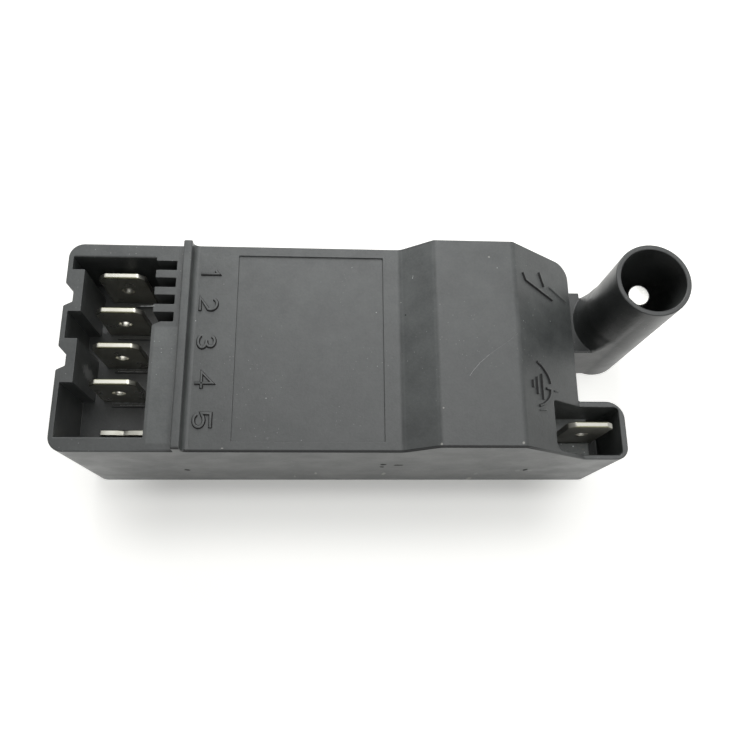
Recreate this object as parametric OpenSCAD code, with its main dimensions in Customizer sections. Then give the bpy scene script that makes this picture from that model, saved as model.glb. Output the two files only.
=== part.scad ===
// Spark generator of a gas appliance: a potted case with a five-pole tab socket, an earth
// tab in a pocket of its own and a high-voltage pin in an output tower.
// Sizes run along X from the socket end, along Y from the middle line and up from the base.

/* [Case] */
// Length of the case from the socket end to the end wall
case_len = 69.5; // [68:0.5:78]
// Width of the case
case_w = 28.5; // [28:0.5:34]
// Height of the main top face above the base
case_h = 21.4; // [20.5:0.1:25]
// Thickness of the side walls and the roof
wall = 1.2; // [0.9:0.1:1.5]
// Radius of the upright corners at the socket end
socket_end_r = 2; // [0.5:0.1:3]
// Radius of the upright corner beside the output arm
arm_end_r = 2.2; // [0.5:0.1:3]
// Depth of the resin surface inside the base rim
resin_recess = 0.8; // [0.3:0.1:1.2]

/* [Hump] */
// Rise of the hump above the main top face
hump_rise = 3.2; // [2:0.1:5]
// Length of the flat on the hump
hump_flat = 10.85; // [8:0.05:14]
// Length of the ramp on the socket side
near_ramp = 4.25; // [2:0.05:6]
// Length of the ramp down to the end wall
far_ramp = 9.8; // [7:0.1:12]
// Height of the end wall, and of the earth pocket's rim
end_h = 17; // [15.5:0.1:19]

/* [Rib and panel] */
// Distance of the rib from the socket end
rib_x = 15.45; // [15:0.05:18]
// Thickness of the rib
rib_t = 1.15; // [0.8:0.05:2]
// Height of the rib above the main top face
rib_rise = 1.8; // [1:0.1:3]
// Size of the fillet at the foot of the rib
rib_foot = 0.8; // [0.3:0.1:1.5]
// Distance of the sunken panel from the socket end
panel_x = 22.65; // [20:0.05:24]
// Length of the sunken panel
panel_len = 19.55; // [14:0.05:20]
// Distance of the sunken panel from the sides of the case
panel_margin = 1.35; // [1:0.05:4]
// Depth of the sunken panel
panel_sink = 0.25; // [0.1:0.05:0.5]

/* [Five-pole socket] */
// Number of poles
poles = 5; // [5:1:5]
// Spacing of the poles
pole_pitch = 5; // [4.8:0.05:5.2]
// Offset of the middle pole from the middle line of the case
pole_shift = 0.25; // [0:0.05:0.4]
// Thickness of the wall at the open end of the socket
socket_end_wall = 0.7; // [0.6:0.05:1.2]
// Length of the socket along the case
socket_len = 10.95; // [10.6:0.05:11.4]
// Width of the socket
socket_w = 24.65; // [24.4:0.05:25.6]
// Depth of the socket
socket_depth = 10; // [9:0.1:11]
// Thickness of the socket's floor
socket_floor = 1.2; // [1:0.1:1.6]
// Length of the keys on the end wall, across the case
key_w = 6; // [5:0.05:6.4]
// Thickness of the keys
key_t = 1.65; // [1.4:0.05:1.9]
// Distance of the first key from the back wall of the socket
key_1 = 1.85; // [1.4:0.05:2.4]
// Distance of the second key from the back wall of the socket
key_2 = 11.6; // [10:0.05:12.4]
// Depth of the latch grooves outside the keys
latch_depth = 1.15; // [0.6:0.05:1.3]
// Width of a latch groove at its floor
latch_w = 1.5; // [1:0.05:2.5]
// Width of the slanted side of a latch groove
latch_slant = 1.2; // [0.5:0.05:1.6]
// Number of coding slots
slots = 4; // [4:1:4]
// Spacing of the coding slots
slot_pitch = 2.47; // [2.3:0.01:2.6]
// Width of a coding slot
slot_w = 1.3; // [1:0.05:1.6]
// Length of a coding slot along the case
slot_len = 2.72; // [2:0.02:3]
// Distance of the first slot's far side from the back wall of the socket
slot_1 = 0.4; // [0.3:0.05:0.8]
// Depth of the coding slots
slot_depth = 8.5; // [6:0.1:9]
// Height of the low ribs on the socket's floor
floor_rib = 0.35; // [0.2:0.05:0.6]

/* [Tabs] */
// Width of a tab
tab_w = 6.2; // [6.1:0.1:6.5]
// Thickness of a tab
tab_t = 0.8; // [0.7:0.05:0.9]
// Distance of the tab tips below the rim around them
tab_sink = 1.3; // [1:0.1:3]
// Distance of the tabs from the socket's end wall
tab_x = 2.95; // [2.6:0.05:3.4]
// Distance of the earth tab from the end of its pocket in the case
earth_tab_gap = 2.05; // [1.8:0.05:2.2]
// Size of the chamfers at a tab's tip
tab_chamfer = 0.9; // [0.5:0.05:1.2]
// Diameter of the hole in a tab
tab_hole_d = 1.8; // [1.4:0.1:2]
// Distance of the hole below the tip
tab_hole_sink = 4.3; // [3.6:0.1:4.8]
// Height of the cut-off fifth tab above the socket's floor
stub_h = 0.8; // [0.5:0.1:1.4]
// Clearance between a tab and its slot in the case
tab_fit = 0.05; // [0.03:0.01:0.1]

/* [Earth pocket] */
// Length of the earth pocket inside
earth_len = 10.05; // [9.4:0.05:11]
// Width of the earth pocket inside
earth_w = 6.65; // [6:0.05:7.4]
// Reach of the earth pocket beyond the end wall
earth_out = 6.3; // [5.6:0.05:7]
// Wall of the earth pocket towards the front
earth_front_wall = 0.65; // [0.6:0.05:1]
// Other walls of the earth pocket
earth_wall = 0.85; // [0.7:0.05:1.1]
// Radius of the pocket's outer corner at the back
earth_back_r = 2.5; // [1:0.1:3]
// Radius of the pocket's outer corner at the front
earth_front_r = 1.7; // [0.8:0.1:2.4]
// Depth of the pocket from its rim to the ledge
earth_ledge = 6.8; // [6:0.1:8]
// Depth of the step from the ledge to the pocket's floor
earth_step = 2.6; // [1.5:0.1:3]
// Length of the deep part of the pocket
earth_deep = 2.2; // [1.6:0.05:2.6]
// Height of the earth tab's tip above the pocket's rim
earth_rise = 2.85; // [2:0.05:4]

/* [Output tower] */
// Distance of the tower's axis from the end wall
tower_x = 8.5; // [8:0.1:12]
// Distance of the tower's axis from the back face
tower_back = 6.1; // [5.6:0.05:6.6]
// Radius of the tower
tower_r = 5.15; // [4.9:0.05:5.4]
// Height of the tower's rim above the base
tower_h = 26.3; // [24:0.1:30]
// Radius of the tower's bore
bore_r = 4.45; // [4.2:0.05:4.6]
// Height of the bore's floor above the base
bore_floor = 9; // [8:0.1:10]
// Growth of the tower's radius at its foot, above the arm
foot_flare = 0.8; // [0.4:0.1:1]
// Height of the flare above the arm
flare_h = 6.8; // [4:0.1:8]
// Height of the arm that carries the tower
arm_h = 10.6; // [10:0.1:12]
// Width of the arm
arm_w = 8.85; // [8.2:0.05:9]
// Length of the shoulder at the back of the arm
shoulder_len = 3.8; // [2:0.1:4]
// Width of the shoulder at the back of the arm
shoulder_w = 0.8; // [0.4:0.05:1]
// Radius of the high-voltage pin
pin_r = 1.55; // [1.2:0.05:1.8]
// Distance of the pin's tip below the tower's rim
pin_sink = 5.1; // [4:0.1:7]
// Chamfer at the pin's tip
pin_chamfer = 0.1; // [0.1:0.05:0.5]

/* [Circuit board] */
// Clearance between the board's end and the transformer
board_end = 1; // [0.8:0.1:1.6]
// Clearance between the board and each side wall
board_side = 0.75; // [0.55:0.05:0.95]
// Thickness of the circuit board
board_t = 1.6; // [1.2:0.1:1.8]
// Height of the board's underside above the base
board_z = 2.8; // [2.7:0.1:3]
// Clearance between the board and the case wall at the socket end
board_gap = 0.5; // [0.3:0.1:0.8]
// Clearance round a lead in its hole in the board
lead_fit = 0.1; // [0.05:0.01:0.15]

/* [Transformer] */
// Distance of the transformer's axis from the end wall
coil_x = 15.6; // [15.2:0.1:16]
// Height of the transformer's axis above the base
coil_z = 12.5; // [12.2:0.1:12.8]
// Radius of the ferrite core
core_r = 3.5; // [3:0.1:3.8]
// Clearance between the core's ends and the side walls
core_gap = 0.75; // [0.65:0.05:1.05]
// Wall of the primary bobbin's tube
primary_tube = 0.5; // [0.4:0.05:0.6]
// Thickness of the primary winding
primary_wire = 0.6; // [0.4:0.05:0.7]
// Wall of the secondary bobbin's tube
secondary_tube = 0.8; // [0.6:0.05:1]
// Number of chambers in the secondary bobbin
chambers = 6; // [4:1:7]
// Thickness of the walls between the chambers
chamber_wall = 0.8; // [0.6:0.05:0.9]
// Reach of the core beyond each end of the secondary bobbin
core_out = 1.55; // [1.3:0.05:2.3]
// Radius of the secondary bobbin's flanges
flange_r = 9.2; // [8.8:0.1:9.3]
// Depth of the winding below the flanges' edge
winding_sink = 1; // [0.6:0.1:1.4]
// Clearance between nested pieces of the transformer
coil_fit = 0.05; // [0.03:0.01:0.08]

/* [Board components] */
// Length of the storage capacitor
cap_len = 18; // [16:0.5:18]
// Thickness of the storage capacitor
cap_w = 9; // [8:0.5:9.5]
// Height of the storage capacitor
cap_h = 14.5; // [12:0.5:14.5]
// Spacing of the capacitor's pins
cap_pitch = 15; // [12.5:0.5:15]
// Radius of the charging resistor
resistor_r = 2.6; // [2:0.1:2.8]
// Length of the charging resistor
resistor_len = 14; // [12:0.5:15]
// Radius of the bleed resistor
bleed_r = 1.25; // [1:0.05:1.5]
// Length of the bleed resistor
bleed_len = 6.3; // [6:0.1:7]
// Radius of the rectifier diode
diode_r = 1.35; // [1.2:0.05:1.6]
// Length of the rectifier diode
diode_len = 5.2; // [4.5:0.1:6]
// Radius of the trigger switch
switch_r = 2.4; // [2.2:0.05:2.6]
// Height of the trigger switch
switch_h = 4.8; // [4.4:0.1:5.4]
// Radius of the component leads
lead_r = 0.4; // [0.3:0.02:0.45]
// Reach of the axial components' leads beyond the body
axial_reach = 2.6; // [2:0.1:3]
// Length of the leads below the board
lead_tail = 1; // [0.8:0.1:1.2]
// Radius of a solder joint
solder_r = 1; // [0.8:0.05:1.1]
// Height of a solder joint below the board
solder_h = 0.7; // [0.5:0.05:0.8]
// Radius of the insulated high-voltage lead
hv_lead_r = 0.9; // [0.7:0.05:1.1]
// Height of the high-voltage lead above the base
hv_lead_z = 5; // [4.5:0.1:5.4]

/* [Hidden] */
$fn = 48;
// Overshoot of a cut past the face that it opens
cut = 1;

// Case and hump, along X and up
half_w = case_w / 2;
panel_w = case_w - 2 * panel_margin;
hump_h = case_h + hump_rise;
hump_end = case_len - far_ramp;
hump_start = hump_end - hump_flat;
ramp_start = hump_start - near_ramp;
near_slope = hump_rise / near_ramp;
far_slope = (hump_h - end_h) / far_ramp;
// Length of a ramp's normal for each unit of height
near_skew = sqrt(1 + near_slope * near_slope);
far_skew = sqrt(1 + far_slope * far_slope);

// Socket
socket_x0 = socket_end_wall;
socket_x1 = socket_x0 + socket_len;
socket_y1 = socket_w / 2;
floor_z = case_h - socket_depth;
under_z = floor_z - socket_floor;
slot_x1 = socket_x1 + slot_len;
block_x = slot_x1 + wall;
keys = [socket_y1 - key_1 - key_w, socket_y1 - key_2 - key_w];
// Shift of each latch groove from the middle of its key
latch_shift = [-0.9, 0];
// Cut-off corner beside the last coding slot
lip_x = 1.1;
lip_y = 0.55;
// Low ribs on the floor, beside the tabs
floor_rib_x = 1.1;
floor_rib_y = 0.9;
floor_rib_w = 0.3;

// Tabs
tab_mid_x = socket_x0 + tab_x + tab_w / 2;
tab_top = case_h - tab_sink;
shoulder_out = 0.6;
shoulder_h = 1.5;
leg_w = 1.2;
leg_pitch = 4;
stub_notch = 0.3;
function pole_y(i) = pole_shift + ((poles - 1) / 2 - i) * pole_pitch;

// Earth pocket
earth_x1 = case_len + earth_out - earth_wall;
earth_x0 = earth_x1 - earth_len;
earth_y0 = earth_front_wall - half_w;
earth_y1 = earth_y0 + earth_w;
ledge_z = end_h - earth_ledge;
deep_z = ledge_z - earth_step;
earth_under = deep_z - socket_floor;
pocket_r = 0.6;
pocket_ramp_r = 1;
earth_tab_shift = 0.2;
earth_leg_more = 0.4;
earth_tab_x = earth_x0 + earth_tab_gap + tab_w / 2;
earth_tab_y = (earth_y0 + earth_y1) / 2 + earth_tab_shift;
earth_top = end_h + earth_rise;

// Output tower and arm
tower_ax = case_len + tower_x;
tower_y = half_w - tower_back;
overall_len = tower_ax + tower_r;
arm_inset = 0.25;
arm_y0 = tower_y - tower_r + arm_inset;
arm_y1 = arm_y0 + arm_w;
root_r = tower_r - wall;
root_top = bore_floor - wall;
pin_top = tower_h - pin_sink;
pin_below = 1.6;
pin_root = hv_lead_z - pin_below;
collar_w = 0.7;
collar_sink = 0.5;
collar_r = pin_r + collar_w;
collar_z0 = root_top - collar_sink;

// Circuit board
coil_ax = case_len - coil_x;
board_w = case_w - 2 * (wall + board_side);
board_x0 = wall + board_gap;
board_x1 = coil_ax - flange_r - board_end;
board_top = board_z + board_t;
lead_end = board_z - lead_tail;
edge_gap = 1;

// Transformer
core_len = case_w - 2 * (wall + core_gap);
secondary_len = core_len - 2 * core_out;
primary_in = core_r + coil_fit;
primary_r = primary_in + primary_tube;
primary_out = primary_r + primary_wire;
bobbin_in = primary_out + coil_fit;
bobbin_r = bobbin_in + secondary_tube;
winding_r = flange_r - winding_sink;
chamber_pitch = (secondary_len - chamber_wall) / chambers;
magnet_wire_r = 0.3;
primary_y = secondary_len / 2 + coil_fit * 2 + magnet_wire_r;
primary_len = 2 * (primary_y + magnet_wire_r);
primary_drop_x = board_x1 - edge_gap;

// Places of the components on the board
part_gap = 0.45;
// Radius of the ball at a lead's corner, as a share of the lead's own
elbow = 1.06;
axial_lift = 0.5;
axial_root = 0.5;
cap_x = board_x1 - 1.5 * edge_gap - cap_len / 2;
cap_y = board_w / 2 - edge_gap - cap_w / 2;
bleed_y = cap_y - cap_w / 2 - part_gap - bleed_r;
diode_y = bleed_y - bleed_r - part_gap - diode_r;
resistor_y = diode_y - diode_r - part_gap - resistor_r;
axial_x = board_x1 - 1.1 * edge_gap - axial_reach - resistor_len / 2;
switch_x = block_x + part_gap + switch_r;
switch_y = (bleed_y + diode_y) / 2;
switch_lift = 1.5;
switch_pitch = 2.5;
switch_flat = 1.4;

// High-voltage lead: it starts clear of the flanges' edge
lead_drop = coil_z - hv_lead_z - hv_lead_r;
hv_lead_x0 = coil_ax + sqrt(flange_r * flange_r - lead_drop * lead_drop) + coil_fit * 2;
hv_lead_x1 = tower_ax - pin_r - coil_fit;

// Earth lead: it runs under the transformer, beside the earth tab's legs
earth_lead_z = lead_end + 0.1;
earth_lead_y = earth_tab_y + tab_t / 2 + lead_r + coil_fit;
earth_lead_lap = 3;
earth_lead_out = 1;
earth_lead_x0 = board_x1 - earth_lead_lap;
earth_lead_x1 = earth_tab_x + leg_pitch / 2 + earth_lead_out;

// Solder: growth of a joint round a flat leg, and the free joints' sizes
leg_flow = 0.3;
joint_flow = 0.2;
joint_r = solder_r + joint_flow;
joint_h = 1.2;
joint_drop = 0.3;
earth_joint_x = 1;
pin_joint_r = collar_r + joint_flow;
pin_joint_h = 2 * (pin_below - joint_drop);

// Moves a piece from the case's own frame to the middle of the overall length
module placed()
    translate([-overall_len / 2, 0, 0])
        children();

// Waste at a square corner with the arc of radius r left in place
module corner_waste(r)
    difference() {
        translate([-cut, -cut])
            square(r + cut);
        translate([r, r])
            circle(r);
    }

// Rectangle with a radius of its own at each corner, anticlockwise from low X and low Y
module rounded_rect(x0, y0, x1, y1, r)
    difference() {
        translate([x0, y0])
            square([x1 - x0, y1 - y0]);
        if (r[0] > 0)
            translate([x0, y0])
                corner_waste(r[0]);
        if (r[1] > 0)
            translate([x1, y0])
                mirror([1, 0])
                    corner_waste(r[1]);
        if (r[2] > 0)
            translate([x1, y1])
                mirror([1, 0])
                    mirror([0, 1])
                        corner_waste(r[2]);
        if (r[3] > 0)
            translate([x0, y1])
                mirror([0, 1])
                    corner_waste(r[3]);
    }

// Box between two corners
module box(a, b)
    translate(a)
        cube(b - a);

// Side profile of [x, z] points, carried across from y0 to y1
module across(points, y0, y1)
    translate([0, y1, 0])
        rotate([90, 0, 0])
            linear_extrude(y1 - y0)
                polygon(points);

// Solid of revolution about the transformer's axis, which lies across the case
module about_coil_axis()
    translate([coil_ax, 0, coil_z])
        rotate([90, 0, 0])
            rotate_extrude()
                children();

// Outer block of the case with its ramps
module case_block()
    intersection() {
        linear_extrude(hump_h + cut)
            rounded_rect(0, -half_w, case_len, half_w,
                         [socket_end_r, 0, arm_end_r, socket_end_r]);
        across([
            [-cut, 0], [case_len + cut, 0], [case_len + cut, end_h - far_slope * cut],
            [hump_end, hump_h], [hump_start, hump_h], [ramp_start, case_h], [-cut, case_h]
        ], -half_w - cut, half_w + cut);
    }

// Hollow under the case's roof, without the socket and the earth pocket
module case_hollow() {
    inner_end = case_len - wall;
    across([
        [wall, -cut], [inner_end, -cut],
        [inner_end, end_h + (far_slope - far_skew) * wall],
        [hump_end - wall * (far_skew - 1) / far_slope, hump_h - wall],
        [hump_start + wall * (near_skew - 1) / near_slope, hump_h - wall],
        [ramp_start + wall * (near_skew - 1) / near_slope, case_h - wall],
        [block_x, case_h - wall], [block_x, under_z], [wall, under_z]
    ], wall - half_w, half_w - wall);
}

// Everything inside the case that is open at the base
module cavity() {
    difference() {
        case_hollow();
        box([earth_x0 - earth_wall, -half_w - cut, earth_under],
            [case_len + cut, earth_y1 + earth_wall, hump_h]);
    }
    box([earth_x0 - earth_wall, wall - half_w, -cut], [earth_x1, earth_y1, earth_under]);
    box([case_len - 2 * wall, arm_y0 + wall, -cut],
        [tower_ax - bore_r - wall, arm_y1 - wall, arm_h - wall]);
    box([case_len - 2 * wall, arm_y0 + wall, -cut], [tower_ax, arm_y1 - wall, root_top]);
    translate([tower_ax, tower_y, -cut])
        cylinder(r = root_r, h = root_top + cut);
}

// Rib across the case, with a fillet at its foot
module rib() {
    box([rib_x, -half_w, case_h - wall], [rib_x + rib_t, half_w, case_h + rib_rise]);
    translate([rib_x + rib_t, half_w, case_h])
        rotate([90, 0, 0])
            linear_extrude(case_w)
                difference() {
                    square(rib_foot);
                    translate([rib_foot, rib_foot])
                        circle(rib_foot);
                }
}

// Outer block of the earth pocket, flush with the front face
module earth_block()
    linear_extrude(end_h)
        rounded_rect(earth_x0 - earth_wall, -half_w, case_len + earth_out,
                     earth_y1 + earth_wall, [0, earth_front_r, earth_back_r, 0]);

// Space of the earth pocket: a ledge and a deeper end, open through the ramp
module earth_space() {
    translate([0, 0, ledge_z])
        linear_extrude(hump_h)
            rounded_rect(earth_x0, earth_y0, earth_x1, earth_y1,
                         [pocket_ramp_r, pocket_r, pocket_r, 0]);
    translate([0, 0, deep_z])
        linear_extrude(earth_ledge)
            rounded_rect(earth_x1 - earth_deep, earth_y0, earth_x1, earth_y1,
                         [0, pocket_r, pocket_r, 0]);
}

// Tower with the flare that blends its foot into the arm
module tower() {
    translate([tower_ax, tower_y, 0])
        cylinder(r = tower_r, h = tower_h);
    box([case_len - wall, arm_y0, 0], [tower_ax, arm_y1, arm_h]);
    box([case_len - wall, arm_y1 - wall, 0],
        [case_len + shoulder_len, arm_y1 + shoulder_w, arm_h]);
    intersection() {
        translate([tower_ax, tower_y, arm_h])
            rotate_extrude()
                polygon([
                    [tower_r - wall, -wall], [tower_r + foot_flare, -wall],
                    [tower_r + foot_flare, 0],
                    [tower_r + foot_flare * 0.45, flare_h * 0.25],
                    [tower_r + foot_flare * 0.15, flare_h * 0.6],
                    [tower_r - wall, flare_h * 1.7]
                ]);
        box([case_len, arm_y0, 0], [tower_ax, arm_y1, tower_h]);
    }
}

// Socket space with its keys left standing and the coding slots beside it
module socket_space() {
    difference() {
        box([socket_x0, -socket_y1, floor_z], [socket_x1, socket_y1, case_h + cut]);
        for (y = keys)
            box([0, y, 0], [socket_x0 + key_t, y + key_w, case_h + 2 * cut]);
        for (i = [0 : poles - 2])
            box([socket_x0 + tab_x + floor_rib_x, pole_y(i) - floor_rib_y - floor_rib_w, 0],
                [socket_x1 + cut, pole_y(i) - floor_rib_y, floor_z + floor_rib]);
    }
    for (i = [0 : slots - 1])
        box([socket_x1 - cut, socket_y1 - slot_1 - i * slot_pitch - slot_w, case_h - slot_depth],
            [slot_x1, socket_y1 - slot_1 - i * slot_pitch, case_h + cut]);
    last_y = socket_y1 - slot_1 - (slots - 1) * slot_pitch - slot_w;
    translate([0, 0, case_h - slot_depth])
        linear_extrude(slot_depth + cut)
            polygon([
                [socket_x1 - cut, last_y + slot_w / 2], [socket_x1 + lip_x, last_y + slot_w / 2],
                [socket_x1 + lip_x, last_y], [socket_x1, last_y - lip_y],
                [socket_x1 - cut, last_y - lip_y]
            ]);
}

// Grooves in the outer face behind the keys, where a plug's latches run
module latch_grooves()
    for (i = [0, 1]) {
        middle = keys[i] + key_w / 2 + latch_shift[i];
        low = middle - latch_w / 2;
        high = middle + latch_w / 2;
        translate([0, 0, floor_z])
            linear_extrude(socket_depth + cut)
                polygon([
                    [-cut, low - latch_slant / 2 * (1 + cut / latch_depth)],
                    [latch_depth, low], [latch_depth, high],
                    [-cut, high + latch_slant * (1 + cut / latch_depth)]
                ]);
    }

// Slot for a tab's blade through a floor
module blade_slot(x, y, z0, z1)
    box([x - tab_w / 2 - tab_fit, y - tab_t / 2 - tab_fit, z0],
        [x + tab_w / 2 + tab_fit, y + tab_t / 2 + tab_fit, z1]);

// Moulded case: shell, hump, rib, socket, earth pocket, arm and tower in one piece
module housing()
    color("#35363a")
        placed()
            difference() {
                union() {
                    case_block();
                    rib();
                    earth_block();
                    tower();
                }
                cavity();
                socket_space();
                latch_grooves();
                earth_space();
                box([panel_x, -panel_w / 2, case_h - panel_sink],
                    [panel_x + panel_len, panel_w / 2, case_h + cut]);
                for (i = [0 : poles - 1])
                    blade_slot(tab_mid_x, pole_y(i), under_z - cut, floor_z + cut);
                blade_slot(earth_tab_x, earth_tab_y, earth_under - cut, ledge_z + cut);
                translate([tower_ax, tower_y, bore_floor])
                    cylinder(r = bore_r, h = tower_h);
                pin_shape();
            }

// Sheet-metal tab in its place: blade, shoulders under the floor and two solder legs
module tab_shape(x, y, top, under, leg_z, cut_off)
    translate([x, y + tab_t / 2, 0])
        rotate([90, 0, 0])
            linear_extrude(tab_t)
                difference() {
                    union() {
                        polygon(cut_off ? [
                            [-tab_w / 2, under - shoulder_h], [tab_w / 2, under - shoulder_h],
                            [tab_w / 2, top], [tab_hole_d / 2, top],
                            [0, top - stub_notch], [-tab_hole_d / 2, top], [-tab_w / 2, top]
                        ] : [
                            [-tab_w / 2, under - shoulder_h], [tab_w / 2, under - shoulder_h],
                            [tab_w / 2, top - tab_chamfer], [tab_w / 2 - tab_chamfer, top],
                            [tab_chamfer - tab_w / 2, top], [-tab_w / 2, top - tab_chamfer]
                        ]);
                        translate([-tab_w / 2 - shoulder_out, under - shoulder_h])
                            square([tab_w + 2 * shoulder_out, shoulder_h]);
                        for (side = [-1, 1])
                            translate([side * leg_pitch / 2 - leg_w / 2, leg_z])
                                square([leg_w, under - leg_z - shoulder_h / 2]);
                    }
                    if (!cut_off)
                        translate([0, top - tab_hole_sink])
                            circle(d = tab_hole_d);
                }

// One of the row's tabs, by its number from the back
module row_tab(i)
    if (i == poles - 1)
        tab_shape(tab_mid_x, pole_y(i), floor_z + stub_h, under_z, lead_end, true);
    else
        tab_shape(tab_mid_x, pole_y(i), tab_top, under_z, lead_end, false);

module earth_tab()
    tab_shape(earth_tab_x, earth_tab_y, earth_top, earth_under, lead_end - earth_leg_more,
              false);

module terminal(i)
    color("#b9b6a8")
        placed()
            row_tab(i);

module earth_terminal()
    color("#b9b6a8")
        placed()
            earth_tab();

// High-voltage pin with the collar that is moulded into the bore's floor
module pin_shape()
    translate([tower_ax, tower_y, 0])
        rotate_extrude()
            polygon([
                [0, pin_root], [pin_r, pin_root], [pin_r, collar_z0],
                [collar_r, collar_z0], [collar_r, bore_floor], [pin_r, bore_floor],
                [pin_r, pin_top - pin_chamfer], [pin_r - pin_chamfer, pin_top], [0, pin_top]
            ]);

module hv_pin()
    color("#d9d9d6")
        placed()
            pin_shape();

// Places of the round leads in the board, with each lead's radius
round_leads = [
    [cap_x - cap_pitch / 2, cap_y, lead_r],
    [cap_x + cap_pitch / 2, cap_y, lead_r],
    [axial_x - resistor_len / 2 - axial_reach, resistor_y, lead_r],
    [axial_x + resistor_len / 2 + axial_reach, resistor_y, lead_r],
    [axial_x - diode_len / 2 - axial_reach, diode_y, lead_r],
    [axial_x + diode_len / 2 + axial_reach, diode_y, lead_r],
    [axial_x - bleed_len / 2 - axial_reach, bleed_y, lead_r],
    [axial_x + bleed_len / 2 + axial_reach, bleed_y, lead_r],
    [switch_x, switch_y - switch_pitch, lead_r],
    [switch_x, switch_y, lead_r],
    [switch_x, switch_y + switch_pitch, lead_r],
    [primary_drop_x, -primary_y, magnet_wire_r],
    [primary_drop_x, primary_y, magnet_wire_r]
];

// Board without its holes
module board_blank()
    box([board_x0, -board_w / 2, board_z], [board_x1, board_w / 2, board_top]);

module circuit_board()
    color("#2f6b4a")
        placed()
            difference() {
                board_blank();
                for (p = round_leads)
                    translate([p[0], p[1], board_z - cut])
                        cylinder(r = p[2] + lead_fit, h = board_t + 2 * cut);
                for (i = [0 : poles - 1])
                    for (side = [-1, 1])
                        translate([tab_mid_x + side * leg_pitch / 2, pole_y(i), board_z + board_t / 2])
                            cube([leg_w + 2 * lead_fit, tab_t + 2 * lead_fit, board_t + 2 * cut],
                                 center = true);
            }

// Round lead down through the board from height z0, or its square channel in the resin
module lead_down(x, y, r, z0, channel = false)
    if (channel)
        box([x - r * elbow, y - r * elbow, lead_end], [x + r * elbow, y + r * elbow, z0]);
    else
        translate([x, y, lead_end])
            cylinder(r = r, h = z0 - lead_end);

// Lead from x0 along X at height z, turned down into the board at x1, or its channel
module bent_lead(x0, x1, y, z, r, channel = false) {
    way = sign(x1 - x0);
    ball = r * elbow;
    if (channel)
        box([min(x0, x1 - ball), y - ball, z - ball], [max(x0, x1 + ball), y + ball, z + ball]);
    else {
        translate([x0, y, z])
            rotate([0, way * 90, 0])
                cylinder(r = r, h = abs(x1 - x0));
        translate([x1, y, z])
            sphere(ball);
    }
    lead_down(x1, y, r, z, channel);
}

// Axial component lying along X above the board
module axial(y, r, len, channel) {
    z = board_top + axial_lift + r;
    translate([axial_x - len / 2, y, z])
        rotate([0, 90, 0])
            cylinder(r = r, h = len);
    for (way = [-1, 1])
        bent_lead(axial_x + way * (len / 2 - axial_root),
                  axial_x + way * (len / 2 + axial_reach), y, z, lead_r, channel);
}

module resistor_shape(channel = false)
    axial(resistor_y, resistor_r, resistor_len, channel);

module bleed_shape(channel = false)
    axial(bleed_y, bleed_r, bleed_len, channel);

module diode_shape(channel = false)
    axial(diode_y, diode_r, diode_len, channel);

module cap_shape(channel = false) {
    box([cap_x - cap_len / 2, cap_y - cap_w / 2, board_top],
        [cap_x + cap_len / 2, cap_y + cap_w / 2, board_top + cap_h]);
    for (side = [-1, 1])
        lead_down(cap_x + side * cap_pitch / 2, cap_y, lead_r, board_top + cut, channel);
}

// Round-backed switch with a flat face, on three legs
module switch_shape(channel = false) {
    translate([switch_x, switch_y, board_top + switch_lift])
        intersection() {
            cylinder(r = switch_r, h = switch_h);
            box([-switch_r - cut, -switch_r - cut, 0], [switch_flat, switch_r + cut, switch_h]);
        }
    for (i = [-1, 0, 1])
        lead_down(switch_x, switch_y + i * switch_pitch, lead_r,
                  board_top + switch_lift + cut, channel);
}

module charging_resistor()
    color("#7f9aa0")
        placed()
            resistor_shape();

module bleed_resistor()
    color("#b99a6b")
        placed()
            bleed_shape();

module rectifier_diode()
    color("#2b2b2d")
        placed()
            diode_shape();

module storage_capacitor()
    color("#b23a2c")
        placed()
            cap_shape();

module trigger_switch()
    color("#2b2b2d")
        placed()
            switch_shape();

module ferrite_core()
    color("#4a4a4c")
        placed()
            about_coil_axis()
                translate([0, -core_len / 2])
                    square([core_r, core_len]);

module primary_bobbin()
    color("#d8cdb4")
        placed()
            about_coil_axis()
                translate([primary_in, -primary_len / 2])
                    square([primary_tube, primary_len]);

// Primary winding with its two ends led to the board
module primary_shape() {
    about_coil_axis()
        translate([primary_r, -primary_len / 2])
            square([primary_wire, primary_len]);
    for (side = [-1, 1])
        bent_lead(coil_ax - primary_r - primary_wire / 2, primary_drop_x, side * primary_y,
                  coil_z, magnet_wire_r);
}

module primary_winding()
    color("#b5652b")
        placed()
            primary_shape();

// Bobbin with a row of chambers, as one turned section
module secondary_bobbin()
    color("#d8cdb4")
        placed()
            about_coil_axis()
                translate([0, -secondary_len / 2])
                    difference() {
                        translate([bobbin_in, 0])
                            square([flange_r - bobbin_in, secondary_len]);
                        for (i = [0 : chambers - 1])
                            translate([bobbin_r, chamber_wall + i * chamber_pitch])
                                square([flange_r, chamber_pitch - chamber_wall]);
                    }

module secondary_winding()
    color("#9c4f24")
        placed()
            about_coil_axis()
                for (i = [0 : chambers - 1])
                    translate([bobbin_r, chamber_wall + i * chamber_pitch - secondary_len / 2])
                        square([winding_r - bobbin_r, chamber_pitch - chamber_wall]);

module hv_lead_shape()
    translate([hv_lead_x0, tower_y, hv_lead_z])
        rotate([0, 90, 0])
            cylinder(r = hv_lead_r, h = hv_lead_x1 - hv_lead_x0);

module hv_lead()
    color("#c9c9c4")
        placed()
            hv_lead_shape();

module earth_lead_shape(channel = false)
    if (channel)
        box([earth_lead_x0, earth_lead_y - lead_r, earth_lead_z - lead_r],
            [earth_lead_x1, earth_lead_y + lead_r, earth_lead_z + lead_r]);
    else
        translate([earth_lead_x0, earth_lead_y, earth_lead_z])
            rotate([0, 90, 0])
                cylinder(r = lead_r, h = earth_lead_x1 - earth_lead_x0);

module earth_lead()
    color("#c9c9c4")
        placed()
            earth_lead_shape();

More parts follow.
